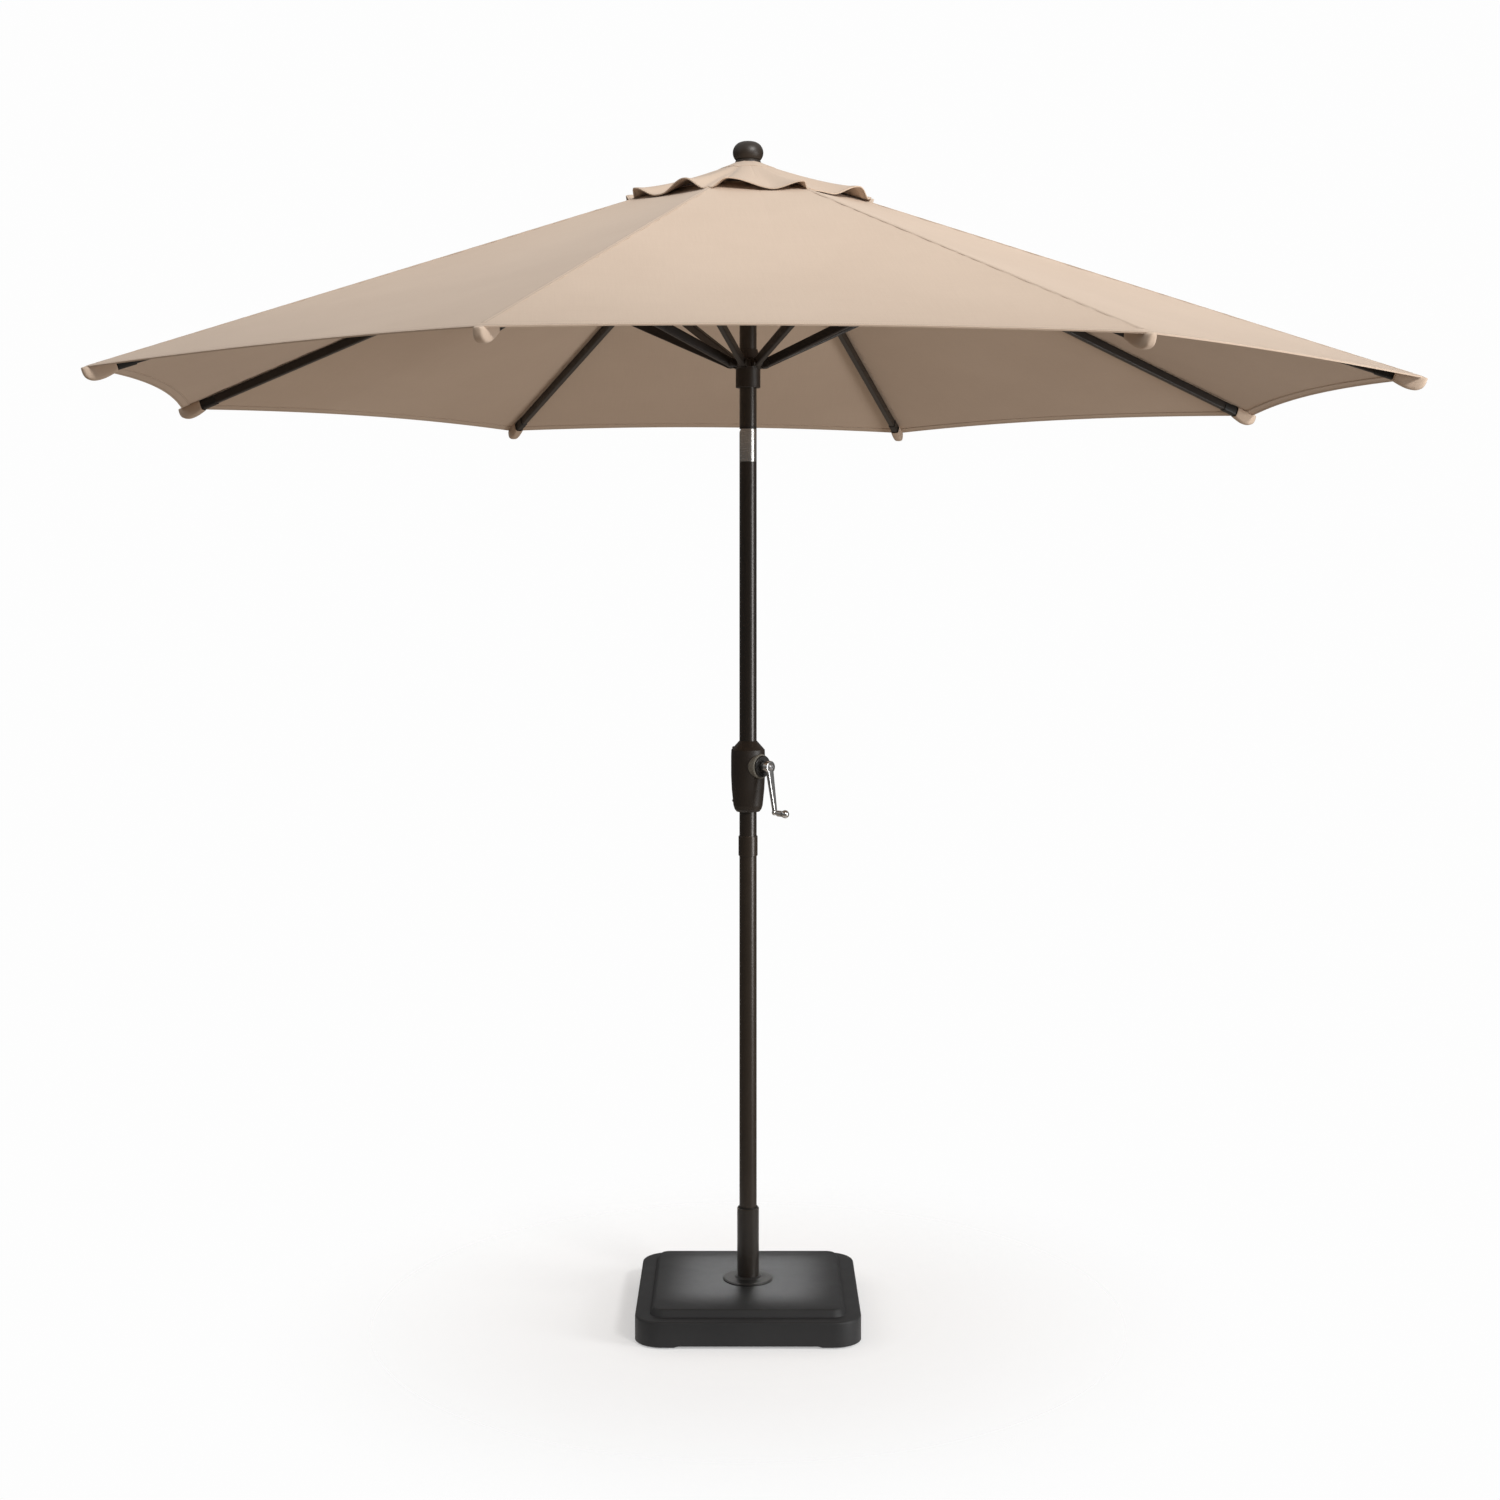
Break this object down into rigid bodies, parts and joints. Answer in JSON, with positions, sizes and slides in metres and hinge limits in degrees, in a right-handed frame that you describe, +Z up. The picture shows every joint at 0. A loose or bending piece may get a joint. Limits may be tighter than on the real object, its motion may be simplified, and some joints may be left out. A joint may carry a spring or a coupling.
{
  "type": "patio umbrella with base",
  "caption": "Crank-operated, tilting market umbrella with a vented fabric canopy on folding ribs and struts, a two-part pole and a weighted square base.",
  "frame": {"origin": "middle of the underside of the base, on the ground", "axes": "+Z up along the pole; the open canopy spreads in X and Y, and the crank points to +X and -Y"},
  "size_m": [2.575, 2.575, 2.441],
  "materials": {
    "bronze_metal": "satin",
    "bronze_plastic": "satin",
    "base_resin": "matte",
    "ballast": "matte",
    "rubber": "matte",
    "black_plastic": "satin",
    "bezel_grey": "satin",
    "cast_aluminium": "polished",
    "crank_metal": "satin",
    "steel": "satin",
    "brass": "satin",
    "cloth": "matte"
  },
  "bodies": {
    "base": {"base_shell": "base_resin", "base_ballast": "ballast", "base_bottom_plate": "base_resin", "base_feet": "rubber", "socket_flange": "bronze_plastic", "socket_tube": "bronze_metal", "socket_liner": "black_plastic"},
    "clamp_knob": {"socket_knob": "black_plastic"},
    "mast": {"lower_pole": "bronze_metal", "joint_sleeve": "steel", "joint_collar": "bronze_plastic", "main_pole": "bronze_metal", "crank_housing_front": "bronze_plastic", "crank_housing_back": "bronze_plastic", "housing_screws": "steel", "crank_bezel": "bezel_grey", "crank_collar": "black_plastic", "crank_bush": "brass", "tilt_joint": "cast_aluminium", "tilt_pin": "steel", "button_spring": "steel"},
    "crank": {"cord_drum": "steel", "crank_arm": "crank_metal", "crank_screw": "steel"},
    "grip": {"crank_grip": "crank_metal"},
    "button": {"tilt_button": "black_plastic"},
    "upper_mast": {"tilt_head": "black_plastic", "upper_pole": "bronze_metal", "top_hub": "bronze_plastic", "hub_pins": "steel", "pulley_axle": "steel", "crown_washer": "black_plastic", "finial": "bronze_plastic", "vent_cap": "cloth"},
    "cord_pulley": {"pulley": "steel"},
    "slider": {"runner": "bronze_plastic"},
    "rib_arm_1": {"rib_1": "bronze_metal", "canopy_1": "cloth"},
    "stretcher_1": {"strut_1": "bronze_metal"},
    "rib_arm_2": {"rib_2": "bronze_metal", "canopy_2": "cloth"},
    "stretcher_2": {"strut_2": "bronze_metal"},
    "rib_arm_3": {"rib_3": "bronze_metal", "canopy_3": "cloth"},
    "stretcher_3": {"strut_3": "bronze_metal"},
    "rib_arm_4": {"rib_4": "bronze_metal", "canopy_4": "cloth"},
    "stretcher_4": {"strut_4": "bronze_metal"},
    "rib_arm_5": {"rib_5": "bronze_metal", "canopy_5": "cloth"},
    "stretcher_5": {"strut_5": "bronze_metal"},
    "rib_arm_6": {"rib_6": "bronze_metal", "canopy_6": "cloth"},
    "stretcher_6": {"strut_6": "bronze_metal"},
    "rib_arm_7": {"rib_7": "bronze_metal", "canopy_7": "cloth"},
    "stretcher_7": {"strut_7": "bronze_metal"},
    "rib_arm_8": {"rib_8": "bronze_metal", "canopy_8": "cloth"},
    "stretcher_8": {"strut_8": "bronze_metal"}
  },
  "joints": [
    {"name": "pole_turn", "type": "hinge", "parent": "base", "child": "mast", "pos_m": [0, 0, 0.1], "axis": [0, 0, 1], "continuous": true},
    {"name": "knob_turn", "type": "hinge", "parent": "base", "child": "clamp_knob", "pos_m": [0, 0, 0.172], "axis": [0, 1, 0], "range_deg": [0, 720]},
    {"name": "tilt", "type": "hinge", "parent": "mast", "child": "upper_mast", "pos_m": [0, 0, 1.828], "axis": [-0.6947, -0.7193, 0], "range_deg": [0, 35]},
    {"name": "button_push", "type": "slide", "parent": "mast", "child": "button", "axis": [0.6947, 0.7193, 0], "range_m": [-0.0025, 0], "stiffness_N_per_m": 600, "springref_m": 0.002, "deforming": ["button_spring"]},
    {"name": "runner_slide", "type": "slide", "parent": "upper_mast", "child": "slider", "axis": [0, 0, 1], "range_m": [-0.613, 0], "deforming": ["vent_cap"]},
    {"name": "crank_spin", "type": "hinge", "parent": "mast", "child": "crank", "pos_m": [0, 0, 1.139], "axis": [0.7193, -0.6947, 0], "range_deg": [-2880.5, 0]},
    {"name": "grip_spin", "type": "hinge", "parent": "crank", "child": "grip", "pos_m": [0, 0, 1.045], "axis": [0.7193, -0.6947, 0], "continuous": true},
    {"name": "pulley_spin", "type": "hinge", "parent": "upper_mast", "child": "cord_pulley", "pos_m": [0, 0, 2.33], "axis": [-0.6947, -0.7193, 0], "range_deg": [-3903.5, 0]},
    {"name": "rib_1_fold", "type": "hinge", "parent": "upper_mast", "child": "rib_arm_1", "pos_m": [-0.01203, -0.03815, 2.368], "axis": [0.9537, -0.3007, 0], "range_deg": [0, 65], "deforming": ["canopy_1"]},
    {"name": "strut_1_fold", "type": "hinge", "parent": "rib_arm_1", "child": "stretcher_1", "pos_m": [-0.15121, -0.47958, 2.18408], "axis": [0.9537, -0.3007, 0], "range_deg": [-127.63, 0]},
    {"name": "rib_2_fold", "type": "hinge", "parent": "upper_mast", "child": "rib_arm_2", "pos_m": [0.01847, -0.03548, 2.368], "axis": [0.887, 0.4617, 0], "range_deg": [0, 65], "deforming": ["canopy_2"]},
    {"name": "strut_2_fold", "type": "hinge", "parent": "rib_arm_2", "child": "stretcher_2", "pos_m": [0.23219, -0.44604, 2.18408], "axis": [0.887, 0.4617, 0], "range_deg": [-127.63, 0]},
    {"name": "rib_3_fold", "type": "hinge", "parent": "upper_mast", "child": "rib_arm_3", "pos_m": [0.03815, -0.01203, 2.368], "axis": [0.3007, 0.9537, 0], "range_deg": [0, 65], "deforming": ["canopy_3"]},
    {"name": "strut_3_fold", "type": "hinge", "parent": "rib_arm_3", "child": "stretcher_3", "pos_m": [0.47958, -0.15121, 2.18408], "axis": [0.3007, 0.9537, 0], "range_deg": [-127.63, 0]},
    {"name": "rib_4_fold", "type": "hinge", "parent": "upper_mast", "child": "rib_arm_4", "pos_m": [0.03548, 0.01847, 2.368], "axis": [-0.4617, 0.887, 0], "range_deg": [0, 65], "deforming": ["canopy_4"]},
    {"name": "strut_4_fold", "type": "hinge", "parent": "rib_arm_4", "child": "stretcher_4", "pos_m": [0.44604, 0.23219, 2.18408], "axis": [-0.4617, 0.887, 0], "range_deg": [-127.63, 0]},
    {"name": "rib_5_fold", "type": "hinge", "parent": "upper_mast", "child": "rib_arm_5", "pos_m": [0.01203, 0.03815, 2.368], "axis": [-0.9537, 0.3007, 0], "range_deg": [0, 65], "deforming": ["canopy_5"]},
    {"name": "strut_5_fold", "type": "hinge", "parent": "rib_arm_5", "child": "stretcher_5", "pos_m": [0.15121, 0.47958, 2.18408], "axis": [-0.9537, 0.3007, 0], "range_deg": [-127.63, 0]},
    {"name": "rib_6_fold", "type": "hinge", "parent": "upper_mast", "child": "rib_arm_6", "pos_m": [-0.01847, 0.03548, 2.368], "axis": [-0.887, -0.4617, 0], "range_deg": [0, 65], "deforming": ["canopy_6"]},
    {"name": "strut_6_fold", "type": "hinge", "parent": "rib_arm_6", "child": "stretcher_6", "pos_m": [-0.23219, 0.44604, 2.18408], "axis": [-0.887, -0.4617, 0], "range_deg": [-127.63, 0]},
    {"name": "rib_7_fold", "type": "hinge", "parent": "upper_mast", "child": "rib_arm_7", "pos_m": [-0.03815, 0.01203, 2.368], "axis": [-0.3007, -0.9537, 0], "range_deg": [0, 65], "deforming": ["canopy_7"]},
    {"name": "strut_7_fold", "type": "hinge", "parent": "rib_arm_7", "child": "stretcher_7", "pos_m": [-0.47958, 0.15121, 2.18408], "axis": [-0.3007, -0.9537, 0], "range_deg": [-127.63, 0]},
    {"name": "rib_8_fold", "type": "hinge", "parent": "upper_mast", "child": "rib_arm_8", "pos_m": [-0.03548, -0.01847, 2.368], "axis": [0.4617, -0.887, 0], "range_deg": [0, 65], "deforming": ["canopy_8"]},
    {"name": "strut_8_fold", "type": "hinge", "parent": "rib_arm_8", "child": "stretcher_8", "pos_m": [-0.44604, -0.23219, 2.18408], "axis": [0.4617, -0.887, 0], "range_deg": [-127.63, 0]}
  ],
  "couplings": [
    {"joint": "crank_spin", "follows": "runner_slide", "rad_per_m": 81.999},
    {"joint": "pulley_spin", "follows": "runner_slide", "rad_per_m": 111.11},
    {"joint": "rib_1_fold", "follows": "runner_slide", "rad_per_m": -1.8478},
    {"joint": "strut_1_fold", "follows": "runner_slide", "rad_per_m": 3.631},
    {"joint": "rib_2_fold", "follows": "runner_slide", "rad_per_m": -1.8478},
    {"joint": "strut_2_fold", "follows": "runner_slide", "rad_per_m": 3.631},
    {"joint": "rib_3_fold", "follows": "runner_slide", "rad_per_m": -1.8478},
    {"joint": "strut_3_fold", "follows": "runner_slide", "rad_per_m": 3.631},
    {"joint": "rib_4_fold", "follows": "runner_slide", "rad_per_m": -1.8478},
    {"joint": "strut_4_fold", "follows": "runner_slide", "rad_per_m": 3.631},
    {"joint": "rib_5_fold", "follows": "runner_slide", "rad_per_m": -1.8478},
    {"joint": "strut_5_fold", "follows": "runner_slide", "rad_per_m": 3.631},
    {"joint": "rib_6_fold", "follows": "runner_slide", "rad_per_m": -1.8478},
    {"joint": "strut_6_fold", "follows": "runner_slide", "rad_per_m": 3.631},
    {"joint": "rib_7_fold", "follows": "runner_slide", "rad_per_m": -1.8478},
    {"joint": "strut_7_fold", "follows": "runner_slide", "rad_per_m": 3.631},
    {"joint": "rib_8_fold", "follows": "runner_slide", "rad_per_m": -1.8478},
    {"joint": "strut_8_fold", "follows": "runner_slide", "rad_per_m": 3.631}
  ]
}
